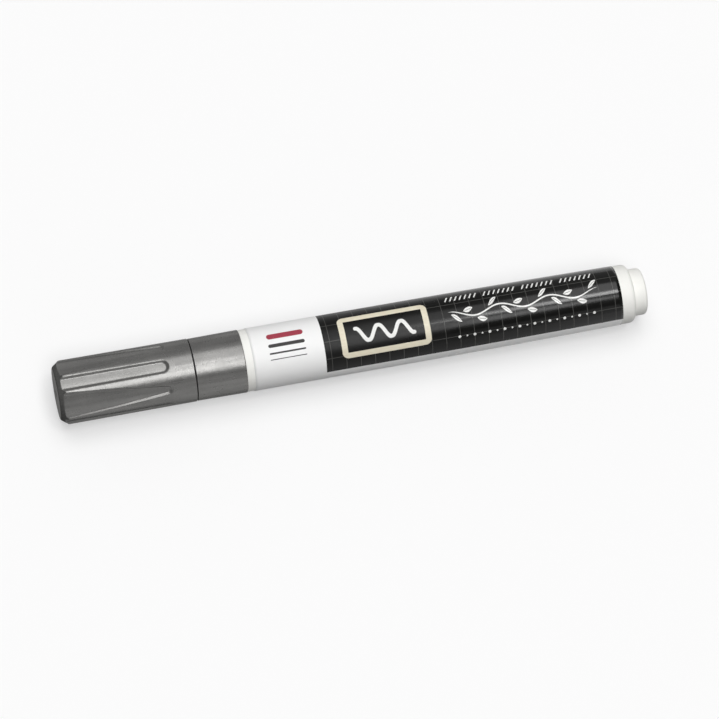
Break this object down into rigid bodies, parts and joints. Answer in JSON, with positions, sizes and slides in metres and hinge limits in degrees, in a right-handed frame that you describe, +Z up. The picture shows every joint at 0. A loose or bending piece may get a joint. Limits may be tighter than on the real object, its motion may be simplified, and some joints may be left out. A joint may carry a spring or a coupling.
{
  "type": "liquid chalk marker",
  "caption": "Valve-fed liquid chalk marker with a fluted pull-off cap, sprung nib, white tapered barrel, wrapped label and loose mixing ball.",
  "frame": {"origin": "on the surface the marker lies on, under the middle of its length", "axes": "+X along the marker from the cap's closed end to the tail, +Z up"},
  "size_m": [0.14, 0.0148, 0.0148],
  "materials": {
    "silver_plastic": "silver-grey pearl pigment, satin",
    "liner_plastic": "natural, slightly waxy",
    "white_plastic": "moulded white, satin",
    "label_film": "printed film, satin",
    "nib_felt": "bonded fibre",
    "valve_plastic": "natural moulded",
    "gasket_rubber": "soft black",
    "spring_steel": "drawn stainless wire",
    "ball_steel": "polished stainless"
  },
  "bodies": {
    "holder": {"barrel": "white_plastic", "label": "label_film", "tail_plug": "white_plastic", "front_section": "silver_plastic", "valve_housing": "valve_plastic", "spring_retainer": "valve_plastic", "valve_spring": "spring_steel"},
    "cap": {"cap_shell": "silver_plastic", "cap_liner": "liner_plastic"},
    "nib_and_valve": {"nib": "nib_felt", "valve_stem": "valve_plastic", "valve_gasket": "gasket_rubber"},
    "ball": {"mixing_ball": "ball_steel"}
  },
  "joints": [
    {"name": "cap_pull", "type": "slide", "parent": "holder", "child": "cap", "axis": [-1, 0, 0], "range_m": [0, 0.045]},
    {"name": "nib_press", "type": "slide", "parent": "holder", "child": "nib_and_valve", "axis": [1, 0, 0], "range_m": [0, 0.0018], "stiffness_N_per_m": 600, "springref_m": -0.002, "deforming": ["valve_spring"]},
    {"name": "ball_roll", "type": "slide", "parent": "holder", "child": "ball", "axis": [-1, 0, 0], "range_m": [0, 0.066]}
  ]
}
